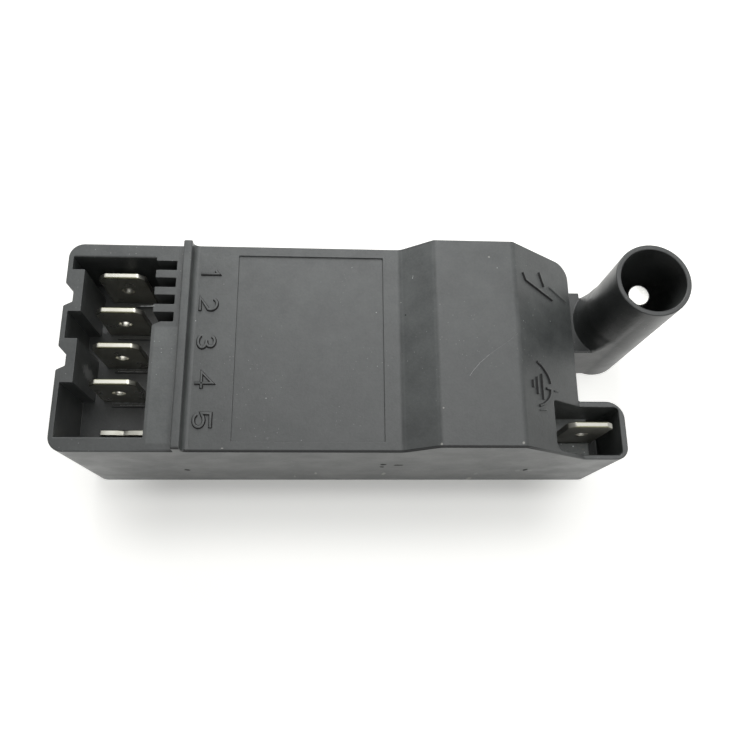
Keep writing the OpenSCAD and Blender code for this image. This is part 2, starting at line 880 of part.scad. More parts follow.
// Solder under the board and round the free joints, without what it holds
module solder_blanks() {
    for (p = round_leads)
        translate([p[0], p[1], board_z - solder_h])
            cylinder(r1 = p[2] + joint_flow, r2 = solder_r, h = solder_h);
    for (i = [0 : poles - 1])
        for (side = [-1, 1])
            translate([tab_mid_x + side * leg_pitch / 2, pole_y(i), board_z - solder_h])
                cylinder(r1 = leg_w / 2 + leg_flow, r2 = solder_r + leg_flow, h = solder_h);
    translate([earth_lead_x0 + earth_joint_x, earth_lead_y, earth_lead_z - lead_r / 2])
        cylinder(r = solder_r, h = board_z - earth_lead_z + lead_r / 2);
    for (side = [-1, 1])
        translate([earth_tab_x + side * leg_pitch / 2, earth_lead_y - lead_r,
                   earth_lead_z - joint_drop])
            cylinder(r = joint_r, h = joint_h);
    translate([tower_ax, tower_y, pin_root + joint_drop])
        cylinder(r = pin_joint_r, h = pin_joint_h);
}

module solder_joints()
    color("#c4c6c8")
        placed()
            difference() {
                solder_blanks();
                for (p = round_leads)
                    lead_down(p[0], p[1], p[2], board_top);
                for (i = [0 : poles - 1])
                    row_tab(i);
                earth_tab();
                earth_lead_shape();
                hv_lead_shape();
                pin_shape();
            }

// Transformer as the resin meets it: windings between the flanges, core and wire ends
module coil_blank() {
    about_coil_axis() {
        translate([0, -core_len / 2])
            square([core_r, core_len]);
        translate([0, -primary_len / 2])
            square([primary_out, primary_len]);
        translate([0, -secondary_len / 2])
            square([winding_r, secondary_len]);
        for (i = [0 : chambers])
            translate([0, i * chamber_pitch - secondary_len / 2])
                square([flange_r, chamber_wall]);
    }
    for (side = [-1, 1])
        bent_lead(coil_ax - primary_r - primary_wire / 2, primary_drop_x, side * primary_y,
                  coil_z, magnet_wire_r, true);
}

// Cast resin that fills the case round everything, a little below the base rim
module potting_resin()
    color("#23242a")
        placed()
            difference() {
                cavity();
                box([-cut, -half_w - cut, -2 * cut], [overall_len, half_w + cut, resin_recess]);
                board_blank();
                solder_blanks();
                coil_blank();
                cap_shape(true);
                switch_shape(true);
                resistor_shape(true);
                bleed_shape(true);
                diode_shape(true);
                for (i = [0 : poles - 1])
                    row_tab(i);
                earth_tab();
                pin_shape();
                hv_lead_shape();
                earth_lead_shape(true);
            }

housing();
potting_resin();
terminal(0);  // terminal_1
terminal(1);  // terminal_2
terminal(2);  // terminal_3
terminal(3);  // terminal_4
terminal(4);  // terminal_5
earth_terminal();
hv_pin();
circuit_board();
solder_joints();
ferrite_core();
primary_bobbin();
primary_winding();
secondary_bobbin();
secondary_winding();
storage_capacitor();
charging_resistor();
bleed_resistor();
rectifier_diode();
trigger_switch();
hv_lead();
earth_lead();
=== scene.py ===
"""Looks of the spark generator: softened mouldings, raised marks, materials, light and camera.

Lengths are millimetres in the case's own frame, as in the part's source: x from the socket end,
y from the middle line and z from the base. at() turns them into metres in the row frame.
"""

import math

import bmesh
import bpy
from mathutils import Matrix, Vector
from mathutils.bvhtree import BVHTree


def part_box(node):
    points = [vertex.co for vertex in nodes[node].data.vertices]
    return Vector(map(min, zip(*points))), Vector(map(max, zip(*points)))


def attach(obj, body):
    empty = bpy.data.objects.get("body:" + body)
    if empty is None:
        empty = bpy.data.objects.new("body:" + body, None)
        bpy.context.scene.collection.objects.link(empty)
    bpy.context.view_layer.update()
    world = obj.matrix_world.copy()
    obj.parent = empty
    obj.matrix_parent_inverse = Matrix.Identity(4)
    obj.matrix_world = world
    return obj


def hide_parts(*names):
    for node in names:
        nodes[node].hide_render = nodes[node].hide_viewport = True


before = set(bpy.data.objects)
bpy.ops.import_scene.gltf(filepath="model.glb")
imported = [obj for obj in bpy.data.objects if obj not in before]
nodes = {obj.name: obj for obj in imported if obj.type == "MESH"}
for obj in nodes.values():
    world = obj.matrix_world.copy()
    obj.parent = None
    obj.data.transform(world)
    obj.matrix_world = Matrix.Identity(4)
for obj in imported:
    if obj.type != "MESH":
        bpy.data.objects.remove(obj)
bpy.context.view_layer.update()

MM = 0.001
UP = Vector((0, 0, 1))
# Both parts of a direction that leans half way between two axes
DIAGONAL = math.sqrt(0.5)
case_x0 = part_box("housing")[0].x


def at(x, y, z):
    """A point of the case's own frame, in metres in the row frame."""
    return Vector((case_x0 + x * MM, y * MM, z * MM))


def case_mm(p):
    """The case's own coordinates of a point in the row frame, in millimetres."""
    return (p.x - case_x0) / MM, p.y / MM, p.z / MM


# Sizes that the looks share with the solids
CASE_W = 28.5
CASE_H = 21.4
CASE_LEN = 69.5
HUMP_H = 24.6
RAMP_START = 44.6
HUMP_START = 48.85
HUMP_END = 59.7
END_H = 17.0
SOCKET_X0, SOCKET_X1, SOCKET_Y = 0.7, 11.65, 12.325
KEY_X1 = 3.0
SLOT_X1 = 14.37
SOCKET_FLOOR = 11.4
PANEL_X0, PANEL_X1, PANEL_Y = 22.65, 42.2, 12.9
RIB_X0, RIB_X1 = 15.45, 16.6
EARTH_X0 = 64.0
EARTH_Y1 = -6.1
LEDGE_Z = 10.2
ARM_Y0, ARM_Y1, ARM_H = 3.0, 12.3, 10.7
TOWER_X, TOWER_Y, TOWER_R = 78.0, 8.15, 5.15
FRONT = -CASE_W / 2
FAR_SLOPE = (HUMP_H - END_H) / (CASE_LEN - HUMP_END)


# Materials

def calc(tree, operation, *values):
    """The values, numbers or nodes' outputs, put through a math operation one after another."""
    total = values[0]
    for value in values[1:]:
        node = tree.nodes.new("ShaderNodeMath")
        node.operation = operation
        for socket, part in zip(node.inputs, (total, value)):
            if isinstance(part, (int, float)):
                socket.default_value = part
            else:
                tree.links.new(part, socket)
        total = node.outputs["Value"]
    return total


# Sockets of a Mix node that mixes colours: its share and its two colours, and its result
MIX_SHARE, MIX_A, MIX_B = 0, 6, 7
MIX_RESULT = 2


class Surface:
    """A material with the shader's own sockets set, and the helpers that its textures need."""

    def __init__(self, name, color, roughness, metallic=0.0, **sockets):
        self.material = bpy.data.materials.new(name)
        self.material.use_nodes = True
        self.tree = self.material.node_tree
        self.shader = self.tree.nodes["Principled BSDF"]
        self.shader.inputs["Base Color"].default_value = (*color, 1)
        self.shader.inputs["Roughness"].default_value = roughness
        self.shader.inputs["Metallic"].default_value = metallic
        for socket, value in sockets.items():
            self.shader.inputs[socket.replace("_", " ")].default_value = value
        self.place = self.tree.nodes.new("ShaderNodeTexCoord").outputs["Object"]
        self.body = None

    def add(self, kind, **settings):
        node = self.tree.nodes.new(kind)
        for key, value in settings.items():
            setattr(node, key, value)
        return node

    def link(self, source, target):
        self.tree.links.new(source, target)

    def feed(self, socket, value):
        """A number or colour set on the socket, or another node's output linked to it."""
        if isinstance(value, tuple):
            socket.default_value = (*value, 1)
        elif isinstance(value, (int, float)):
            socket.default_value = value
        else:
            self.link(value, socket)

    def calc(self, operation, *values):
        return calc(self.tree, operation, *values)

    def axes(self):
        """The object's coordinates along x, y and z, in metres."""
        parts = self.add("ShaderNodeSeparateXYZ")
        self.link(self.place, parts.inputs["Vector"])
        return parts.outputs

    def stretched(self, x, y, z):
        """Object coordinates in millimetres, stretched along each axis."""
        node = self.add("ShaderNodeMapping")
        node.inputs["Scale"].default_value = (1000 / x, 1000 / y, 1000 / z)
        self.link(self.place, node.inputs["Vector"])
        return node.outputs["Vector"]

    def noise(self, size, detail=3.0, rough=0.5, stretch=(1, 1, 1)):
        """Noise with features of about size millimetres, from 0 to 1."""
        node = self.add("ShaderNodeTexNoise")
        node.inputs["Scale"].default_value = 1.0
        node.inputs["Detail"].default_value = detail
        node.inputs["Roughness"].default_value = rough
        self.link(self.stretched(*(size * s for s in stretch)), node.inputs["Vector"])
        return node.outputs["Fac"]

    def cells(self, size):
        """Cells of size millimetres: distance from the middle and random colour of each."""
        node = self.add("ShaderNodeTexVoronoi", feature="F1")
        node.inputs["Scale"].default_value = 1.0
        self.link(self.stretched(size, size, size), node.inputs["Vector"])
        return node.outputs["Distance"], node.outputs["Color"]

    def band(self, value, low, high, out_low=0.0, out_high=1.0):
        """Value from low to high turned into out_low to out_high, and held there beyond."""
        node = self.add("ShaderNodeMapRange")
        self.link(value, node.inputs["Value"])
        node.inputs["From Min"].default_value = low
        node.inputs["From Max"].default_value = high
        node.inputs["To Min"].default_value = out_low
        node.inputs["To Max"].default_value = out_high
        return node.outputs["Result"]

    def mixed(self, share, a, b):
        """Colour a where share is 0 and b where it is 1."""
        node = self.add("ShaderNodeMix", data_type="RGBA")
        for socket, value in ((MIX_SHARE, share), (MIX_A, a), (MIX_B, b)):
            self.feed(node.inputs[socket], value)
        return node.outputs[MIX_RESULT]

    def toned(self, color, share, factor):
        """The colour, times factor where share is 1."""
        if isinstance(factor, float):
            factor = (factor, factor, factor)
        node = self.add("ShaderNodeMix", data_type="RGBA", blend_type="MULTIPLY")
        for socket, value in ((MIX_SHARE, share), (MIX_A, color), (MIX_B, factor)):
            self.feed(node.inputs[socket], value)
        return node.outputs[MIX_RESULT]

    def scattered(self, size, core, rim, share, channel):
        """Dots with a core and a soft rim, one to a cell, in the cells whose draw is over share."""
        distance, draw = self.cells(size)
        parts = self.add("ShaderNodeSeparateColor")
        self.link(draw, parts.inputs["Color"])
        chosen = self.band(parts.outputs[channel], share, share + 0.02)
        return self.calc("MULTIPLY", self.band(distance, core, rim, 1, 0), chosen)

    def zone(self, **spans):
        """1 in a part of the case's own frame, by axis as (low, high, fade), and 0 outside it."""
        axes = self.axes()
        edges = []
        for axis, (low, high, fade) in spans.items():
            i = "xyz".index(axis)
            low, high = at(low, low, low)[i], at(high, high, high)[i]
            edges.append(self.band(axes[i], low - fade * MM, low))
            edges.append(self.band(axes[i], high, high + fade * MM, 1, 0))
        return self.calc("MULTIPLY", *edges)

    def spots(self, places, ragged):
        """1 round each (centre, radii) in the case's own frame, with ragged edges."""
        shift = self.calc("MULTIPLY", self.calc("SUBTRACT", ragged, 0.5), 1.2)
        spots = []
        for centre, radii in places:
            scale = [1 / (r * MM) for r in radii]
            node = self.add("ShaderNodeMapping")
            node.inputs["Scale"].default_value = scale
            node.inputs["Location"].default_value = [-c * k for c, k in zip(at(*centre), scale)]
            self.link(self.place, node.inputs["Vector"])
            length = self.add("ShaderNodeVectorMath", operation="LENGTH")
            self.link(node.outputs["Vector"], length.inputs[0])
            reach = self.calc("ADD", length.outputs["Value"], shift)
            spots.append(self.band(reach, 0.6, 1.0, 1, 0))
        return self.calc("MAXIMUM", *spots)

    def leaning(self, direction, source="True Normal"):
        """How far the surface's normal leans to a direction, 1 where it is the same."""
        node = self.add("ShaderNodeVectorMath", operation="DOT_PRODUCT")
        self.link(self.add("ShaderNodeNewGeometry").outputs[source], node.inputs[0])
        node.inputs[1].default_value = direction
        return node.outputs["Value"]

    def color(self, value):
        """The surface's colour, kept as body for what another material lays over it."""
        self.body = value
        self.link(value, self.shader.inputs["Base Color"])

    def roughness(self, value):
        self.link(value, self.shader.inputs["Roughness"])

    def bumps(self, *layers):
        """Bump layers of (height, depth in millimetres), laid over each other."""
        normal = None
        for height, depth in layers:
            node = self.add("ShaderNodeBump")
            node.inputs["Strength"].default_value = 1.0
            node.inputs["Distance"].default_value = depth * MM
            self.link(height, node.inputs["Height"])
            if normal is not None:
                self.link(normal, node.inputs["Normal"])
            normal = node.outputs["Normal"]
        self.link(normal, self.shader.inputs["Normal"])

    def put_on(self, *names):
        for name in names:
            for slot in nodes[name].material_slots:
                slot.material = self.material


CASE_DARK = (0.043, 0.0465, 0.0462)
CASE_PALE = (0.084, 0.0895, 0.088)
DUST = (0.4, 0.41, 0.41)
NICK_COLOR = (0.008, 0.008, 0.008)
CHIP_COLOR = (0.28, 0.28, 0.26)
RUB_AND_LIT_COLOR = (0.15, 0.155, 0.155)
FLANK_SHADE_COLOR = (0.01, 0.01, 0.01)
# How far a face leans up where it starts to count as a top and where it does wholly, as the
# ramps do
TOP_LEAN = (0.72, 0.78)
# Painted shade and light on the tops, darker at the front and lighter at the back: how far from the
# middle line it changes, and its tone at the front and the back
TOP_SHADE_Y, TOP_SHADE_FRONT, TOP_SHADE_BACK = 13, 0.78, 1.22
# The front's top edge, with a painted dark line of shade along its rounding: its direction and what
# is left of its colour
EDGE_LEAN = (0.0, -DIAGONAL, DIAGONAL)
EDGE_SHADE_TONE = 0.1
# Parts of the case, by axis as (low, high, fade)
SOCKET = dict(x=(0.4, 14.45, 0.05), y=(-12.9, 12.9, 0.05), z=(-1.0, 19.6, 1.7))
SOCKET_STRIP = dict(x=(12.2, 15.2, 0.2), y=(-13.0, 2.3, 0.3), z=(21.3, 21.6, 0.05))
PANEL_CORNER = dict(x=(36.5, 42.0, 3.0), y=(-12.8, -7.0, 4.0), z=(21.0, 21.3, 0.05))
FRONT_EDGE = dict(x=(17.0, 60.0, 7.0), y=(-CASE_W, -13.95, 0.06), z=(18.0, 30.0, 1.0))
NEAR_RAMP = dict(x=(RAMP_START + 0.2, HUMP_START - 0.15, 0.2), y=(-13.9, 13.9, 0.1),
                 z=(CASE_H + 0.1, HUMP_H - 0.1, 0.1))
SCRATCH_START = dict(x=(50.0, 54.0, 2.5))
EARTH_POCKET = dict(x=(64.1, 75.3, 0.1), y=(-13.7, -6.5, 0.1), z=(-1.0, 15.5, 1.0))
EARTH_LEDGE = dict(x=(65.0, 72.9, 0.1), y=(-13.2, -6.9, 0.1), z=(9.9, 10.3, 0.1))
LEDGE_FRONT = dict(x=(65.4, 72.9, 0.3), y=(-12.5, -10.4, 0.3), z=(9.9, 10.3, 0.1))
TOWER_AND_ARM = dict(x=(69.7, 90.0, 0.1), y=(2.9, 20.0, 0.1))
# Painted shade and light: what the plastic's colour is multiplied by in a part, darker in the
# socket, tower, arm and earth pocket, lighter on the ledge, the strip and the near ramp
PAINTED_TONES = [(SOCKET, 0.58), (TOWER_AND_ARM, 0.6), (EARTH_POCKET, 0.95), (EARTH_LEDGE, 4.5),
         (SOCKET_STRIP, 1.5), (NEAR_RAMP, 1.35)]
# How much powdery dust lies on a part
POWDER = [(PANEL_CORNER, 0.55), (LEDGE_FRONT, 0.8)]
# Middle and radii of small marks: dark nicks and specks, pale chips and specks, rubbed patches, and
# painted pools of light on a wall and the floor of the socket
NICKS = [
    ((42.6, FRONT, 12.9), (0.6, 0.3, 0.8)), ((42.5, FRONT, 11.2), (0.35, 0.3, 0.6)),
    ((44.7, FRONT, 12.5), (0.75, 0.3, 0.6)), ((63.45, FRONT, 9.0), (0.38, 0.3, 1.0)),
    ((15.2, FRONT, 8.6), (0.5, 0.3, 0.8)), ((45.15, 4.4, 21.8), (0.13, 0.13, 0.5)),
]
CHIPS = [
    ((43.15, FRONT, 5.5), (0.3, 0.3, 1.1)), ((56.65, FRONT, 1.2), (0.45, 0.3, 1.2)),
    ((33.2, FRONT, 5.8), (0.22, 0.3, 1.0)), ((30.05, FRONT, 3.1), (0.15, 0.3, 0.8)),
    ((49.36, -9.18, HUMP_H), (0.16, 0.16, 0.3)), ((56.3, 11.85, HUMP_H), (0.16, 0.14, 0.3)),
    ((48.98, -13.75, HUMP_H), (0.16, 0.2, 0.3)), ((59.3, -13.6, HUMP_H), (0.18, 0.2, 0.3)),
    ((23.4, -12.8, CASE_H), (0.12, 0.12, 0.3)), ((21.6, -13.75, CASE_H), (0.2, 0.1, 0.3)),
    ((71.7, -10.9, LEDGE_Z), (0.2, 0.15, 0.2)), ((71.9, -11.5, LEDGE_Z), (0.25, 0.2, 0.2)),
    ((71.5, -12.1, LEDGE_Z), (0.15, 0.2, 0.2)), ((71.9, -12.6, LEDGE_Z), (0.2, 0.15, 0.2)),
]
RUBS_AND_LIT_PATCHES = [
    ((62.55, FRONT, 8.4), (0.5, 0.3, 1.0)), ((64.35, FRONT, 8.5), (0.4, 0.3, 0.8)),
    ((56.9, FRONT, 5.5), (0.3, 0.3, 1.0)), ((27.2, -12.4, CASE_H), (0.5, 0.3, 0.3)),
    # Painted light: a pool of light on a wall of the socket and one on its floor
    ((2.35, -2.3, 15.6), (0.4, 1.0, 2.8)), ((2.8, 5.6, SOCKET_FLOOR), (0.6, 0.7, 0.6)),
]


def dusted(s, body):
    """The body's colour under single grains of dust and patches of fine powder."""
    grains = s.scattered(1.6, 0.03, 0.055, 0.7, "Red")
    powder = s.scattered(0.5, 0.08, 0.17, 0.6, "Green")
    patches = s.band(s.noise(9.0, detail=2), 0.5, 0.62, 0.0, 0.4)
    powder = s.calc("MULTIPLY", powder, patches)
    coarse = s.scattered(0.7, 0.08, 0.2, 0.45, "Blue")
    for part, amount in POWDER:
        share = s.calc("MULTIPLY", s.zone(**part), amount)
        powder = s.calc("MAXIMUM", powder, s.calc("MULTIPLY", coarse, share))
    return s.mixed(s.calc("MAXIMUM", grains, powder), body, DUST)


def case_plastic(name="case plastic"):
    """Dark grey moulded plastic: fine matt grain, cloudy smudges, scattered dust and wear, with
    painted shade and light by part and on the tops, a painted dark line of shade on the front's top
    edge and painted pools of light in the socket.
    """
    s = Surface(name, (0.066, 0.068, 0.067), 0.37, Specular_IOR_Level=0.45)
    clouds = s.noise(4.6, detail=5, rough=0.62)
    grain = s.noise(0.3, detail=2)
    smudged = s.mixed(s.band(clouds, 0.33, 0.67), CASE_DARK, CASE_PALE)
    fine = s.mixed(s.band(grain, 0.2, 0.8), CASE_DARK, CASE_PALE)
    body = dusted(s, s.mixed(0.35, smudged, fine))
    tops = s.band(s.leaning(UP), *TOP_LEAN)
    # Painted shade towards the front of the tops and painted light towards their back
    top_shading = s.band(s.axes()["Y"], -TOP_SHADE_Y * MM, TOP_SHADE_Y * MM, TOP_SHADE_FRONT, TOP_SHADE_BACK)
    body = s.toned(body, tops, top_shading)
    # Painted shade in the socket, tower, arm and pocket, and painted light on the ledge, strip and
    # near ramp
    for part, factor in PAINTED_TONES:
        body = s.toned(body, s.zone(**part), factor)
    ragged = s.noise(0.5, detail=3)
    nicks = s.spots(NICKS, ragged)
    body = s.mixed(nicks, body, NICK_COLOR)
    body = s.mixed(s.spots(CHIPS, ragged), body, CHIP_COLOR)
    body = s.mixed(s.spots(RUBS_AND_LIT_PATCHES, ragged), body, RUB_AND_LIT_COLOR)
    # A painted dark line of shade along the rounding of the front's top edge
    rounding = s.band(s.leaning(EDGE_LEAN, "Normal"), 0.74, 0.86)
    line = s.calc("MULTIPLY", s.calc("MAXIMUM", rounding, tops), s.zone(**FRONT_EDGE))
    s.color(s.toned(body, line, EDGE_SHADE_TONE))
    rougher = s.calc("MAXIMUM", nicks, s.calc("MULTIPLY", line, 0.75))
    matt = s.band(s.noise(4.5, detail=3), 0.35, 0.65, 0.32, 0.42)
    s.roughness(s.calc("MAXIMUM", matt, rougher))
    s.bumps((grain, 0.012), (s.noise(0.14, detail=2), 0.006), (s.noise(5.0), 0.06))
    return s


def flank_shaded_plastic(name, up):
    """The case's plastic with painted shade, near black, on the flanks of its raised marks."""
    s = case_plastic(name)
    top = s.band(s.leaning(up), 0.75, 0.95)
    # Painted shade on every face that leans away from the mark's top
    s.color(s.mixed(top, FLANK_SHADE_COLOR, s.body))
    s.roughness(s.band(top, 0, 1, 0.9, 0.37))
    return s


def scuffed_plastic():
    """The same plastic where something has rubbed it pale, most at the scratch's start."""
    s = Surface("scuffed plastic", (0.2, 0.2, 0.2), 0.6)
    pale = s.mixed(s.band(s.noise(0.4), 0.3, 0.7), (0.09, 0.09, 0.095), (0.2, 0.2, 0.2))
    s.color(s.toned(pale, s.zone(**SCRATCH_START), 2.0))
    s.roughness(s.band(s.noise(0.3), 0.3, 0.7, 0.5, 0.7))
    s.bumps((s.noise(0.1), 0.01))
    return s


def flash_plastic():
    """Thin flash of the mould, paler than the case."""
    s = Surface("thin flash", (0.15, 0.155, 0.155), 0.4)
    s.color(s.mixed(s.band(s.noise(0.35), 0.35, 0.6), (0.09, 0.095, 0.095), (0.26, 0.27, 0.27)))
    s.roughness(s.band(s.noise(0.3), 0.3, 0.7, 0.32, 0.5))
    s.bumps((s.noise(0.12), 0.01))
    return s


def cast_resin():
    """Potting resin: dark, smooth, a little uneven where it has shrunk over what it holds."""
    s = Surface("cast resin", (0.02, 0.019, 0.018), 0.25, Coat_Weight=0.2)
    waves = s.noise(7.0, detail=2)
    s.color(s.mixed(s.band(waves, 0.35, 0.65), (0.016, 0.015, 0.014), (0.028, 0.026, 0.024)))
    s.roughness(s.band(s.noise(2.5), 0.3, 0.7, 0.18, 0.36))
    pits, _ = s.cells(3.2)
    s.bumps((waves, 0.25), (s.band(pits, 0.02, 0.12), 0.06))
    return s


# Directions of the tabs' lead-in chamfers, and the dark olive painted on them as shade over their
# bright reflection
LEAD_INS = [(0.0, side * DIAGONAL, DIAGONAL) for side in (-1, 1)]
LEAD_IN_SHADE_COLOR = (0.13, 0.13, 0.08)


def sheet_metal(name, bright, rough):
    """Tinned brass sheet, smooth, with a few dull patches and painted shade on the lead-in chamfers;
    bright scales its colour.
    """
    def shade(color):
        return tuple(c * bright for c in color)

    s = Surface(name, shade((0.5, 0.49, 0.43)), rough, 1.0)
    drawn = s.noise(0.25, detail=3, stretch=(8, 1, 0.6))
    dull = s.noise(2.4, detail=3)
    face = s.mixed(s.band(dull, 0.35, 0.7), shade((0.53, 0.525, 0.475)), shade((0.44, 0.43, 0.375)))
    # Painted shade on the lead-in chamfers in place of their bright reflection
    for lean in LEAD_INS:
        face = s.mixed(s.band(s.leaning(lean, "Normal"), 0.78, 0.9), face, LEAD_IN_SHADE_COLOR)
    s.color(face)
    s.roughness(s.band(dull, 0.3, 0.7, rough, rough + 0.1))
    s.bumps((drawn, 0.003))
    return s


def turned_pin():
    """Nickel plated pin, smooth and bright, with very fine turning marks."""
    s = Surface("plated pin", (0.54, 0.54, 0.52), 0.26, 1.0)
    turning = s.noise(0.12, detail=2, stretch=(30, 30, 1))
    s.color(s.mixed(s.noise(1.2), (0.56, 0.56, 0.54), (0.5, 0.5, 0.48)))
    s.roughness(s.band(s.noise(0.6), 0.3, 0.7, 0.24, 0.34))
    s.bumps((turning, 0.0015))
    return s


def board_laminate():
    """Green solder mask over woven glass."""
    s = Surface("board laminate", (0.05, 0.16, 0.08), 0.35)
    weave = s.add("ShaderNodeTexWave", wave_type="BANDS", bands_direction="DIAGONAL")
    weave.inputs["Scale"].default_value = 1.0
    s.link(s.stretched(2.2, 2.2, 2.2), weave.inputs["Vector"])
    s.color(s.mixed(s.noise(2.0), (0.04, 0.14, 0.07), (0.07, 0.2, 0.1)))
    s.roughness(s.band(s.noise(1.0), 0.3, 0.7, 0.28, 0.42))
    s.bumps((weave.outputs["Fac"], 0.01), (s.noise(0.3), 0.006))
    return s


def soft_solder():
    """Bright solder, duller in places."""
    s = Surface("soft solder", (0.62, 0.63, 0.64), 0.28, 1.0)
    s.color(s.mixed(s.noise(0.5), (0.68, 0.69, 0.7), (0.5, 0.5, 0.5)))
    s.roughness(s.band(s.noise(0.8), 0.3, 0.7, 0.18, 0.42))
    s.bumps((s.noise(0.4), 0.03))
    return s


def ground_ferrite():
    """Pressed ferrite, dark and stony, with grinding marks along its length."""
    s = Surface("ground ferrite", (0.07, 0.07, 0.072), 0.55)
    s.color(s.mixed(s.noise(0.4), (0.055, 0.055, 0.057), (0.095, 0.095, 0.095)))
    s.roughness(s.band(s.noise(1.5), 0.3, 0.7, 0.42, 0.65))
    s.bumps((s.noise(0.15, stretch=(1, 12, 1)), 0.012))
    return s


def bobbin_plastic():
    """Cream moulded plastic."""
    s = Surface("bobbin plastic", (0.68, 0.62, 0.48), 0.5)
    s.color(s.mixed(s.noise(4.0), (0.7, 0.64, 0.5), (0.62, 0.56, 0.42)))
    s.roughness(s.band(s.noise(0.8), 0.3, 0.7, 0.42, 0.58))
    s.bumps((s.noise(0.2), 0.01))
    return s


def enamelled_wire():
    """Turns of fine copper wire, side by side round the transformer's axis."""
    s = Surface("enamelled wire", (0.55, 0.22, 0.09), 0.3, 0.9, Coat_Weight=0.4)
    turns = s.add("ShaderNodeTexWave", wave_type="BANDS", bands_direction="Y")
    turns.inputs["Scale"].default_value = 1.0
    turns.inputs["Distortion"].default_value = 0.6
    s.link(s.stretched(1.0, 0.9, 1.0), turns.inputs["Vector"])
    s.color(s.mixed(s.noise(1.5), (0.6, 0.25, 0.1), (0.42, 0.15, 0.05)))
    s.roughness(s.band(s.noise(1.0), 0.3, 0.7, 0.24, 0.4))
    s.bumps((turns.outputs["Fac"], 0.06))
    return s


def moulded_box():
    """Glossy red box of the film capacitor."""
    s = Surface("moulded red box", (0.42, 0.05, 0.03), 0.28, Coat_Weight=0.15)
    s.color(s.mixed(s.noise(3.0), (0.45, 0.055, 0.035), (0.36, 0.04, 0.025)))
    s.roughness(s.band(s.noise(1.0), 0.3, 0.7, 0.22, 0.36))
    s.bumps((s.noise(2.5), 0.03))
    return s


def resistor_lacquer():
    """Blue-grey lacquer, thick and a little wavy."""
    s = Surface("resistor lacquer", (0.25, 0.36, 0.38), 0.4)
    s.color(s.mixed(s.noise(1.0), (0.27, 0.39, 0.41), (0.2, 0.3, 0.32)))
    s.roughness(s.band(s.noise(0.8), 0.3, 0.7, 0.32, 0.5))
    s.bumps((s.noise(0.5), 0.03))
    return s


def black_component():
    """Matt black moulding of a diode or a switch."""
    s = Surface("black component", (0.03, 0.03, 0.03), 0.5)
    s.color(s.mixed(s.noise(0.8), (0.026, 0.026, 0.027), (0.045, 0.045, 0.045)))
    s.roughness(s.band(s.noise(0.5), 0.3, 0.7, 0.42, 0.6))
    s.bumps((s.noise(0.12), 0.01))
    return s


def silicone_sleeve():
    """Pale rubbery sleeve of the output lead."""
    s = Surface("silicone sleeve", (0.55, 0.55, 0.52), 0.6)
    s.color(s.mixed(s.noise(1.5), (0.58, 0.58, 0.55), (0.48, 0.48, 0.45)))
    s.roughness(s.band(s.noise(0.7), 0.3, 0.7, 0.5, 0.7))
    s.bumps((s.noise(0.3), 0.01))
    return s


def tinned_wire():
    """Bright drawn wire."""
    s = Surface("tinned wire", (0.65, 0.65, 0.66), 0.25, 1.0)
    s.color(s.mixed(s.noise(0.6), (0.7, 0.7, 0.71), (0.55, 0.55, 0.55)))
    s.roughness(s.band(s.noise(0.5), 0.3, 0.7, 0.18, 0.36))
    s.bumps((s.noise(0.15, stretch=(10, 1, 1)), 0.005))
    return s


plastic = case_plastic()
plastic.put_on("housing")
cast_resin().put_on("potting_resin")
tinned = sheet_metal("tinned sheet", bright=1.0, rough=0.26)
tabs = {f"terminal_{pole}": tinned for pole in range(1, 5)}
tabs["terminal_5"] = sheet_metal("dull sheet", bright=0.9, rough=0.36)
tabs["earth_terminal"] = sheet_metal("stained sheet", bright=0.58, rough=0.4)
for tab, metal in tabs.items():
    metal.put_on(tab)
pin_metal = turned_pin()
pin_metal.put_on("hv_pin")
board_laminate().put_on("circuit_board")
soft_solder().put_on("solder_joints")
ground_ferrite().put_on("ferrite_core")
bobbin_plastic().put_on("primary_bobbin", "secondary_bobbin")
enamelled_wire().put_on("primary_winding", "secondary_winding")
moulded_box().put_on("storage_capacitor")
resistor_lacquer().put_on("charging_resistor", "bleed_resistor")
black_component().put_on("rectifier_diode", "trigger_switch")
silicone_sleeve().put_on("hv_lead")
tinned_wire().put_on("earth_lead")


# Making pieces

def new_piece(name, mesh):
    """An object in the scene, made of the bmesh."""
    data = bpy.data.meshes.new(name)
    mesh.to_mesh(data)
    mesh.free()
    piece = bpy.data.objects.new(name, data)
    bpy.context.scene.collection.objects.link(piece)
    return piece


def apply_modifiers(piece):
    """The piece's modifiers made part of its mesh."""
    made = piece.evaluated_get(bpy.context.evaluated_depsgraph_get())
    data = bpy.data.meshes.new_from_object(made)
    piece.modifiers.clear()
    piece.data = data


# Edges that bend more than this keep a crease in the shading
CREASE_DEG = 32


def smooth(piece):
    """Smooth shading with crisp creases, and large faces kept flat."""
    piece.data.shade_smooth()
    piece.data.set_sharp_from_angle(angle=math.radians(CREASE_DEG))
    weighted = piece.modifiers.new("flat faces", "WEIGHTED_NORMAL")
    weighted.keep_sharp = True
    weighted.weight = 80
    split = piece.modifiers.new("split", "TRIANGULATE")
    split.min_vertices = 5
    split.ngon_method = "BEAUTY"
    split.keep_custom_normals = True
    apply_modifiers(piece)


def dressed(piece, surface):
    """The piece with its bevel applied, smoothed, in its material and on the part's one body."""
    apply_modifiers(piece)
    smooth(piece)
    piece.data.materials.clear()
    piece.data.materials.append(surface.material)
    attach(piece, "root")
    return piece


# Softened edges

# Points this close are one, in metres, and faces that bend less than this are one flat face
WELD = 2e-6
FLAT_DEG = 0.6
# Edges that bend more than this are rounded, in this many steps
SHARP_DEG = 20
ROUND_STEPS = 3
# Edges whose ways differ by less than this are one chain
CHAIN_DEG = 40
# How far off an edge a look into the open starts, in millimetres
LOOK_FROM = 0.02


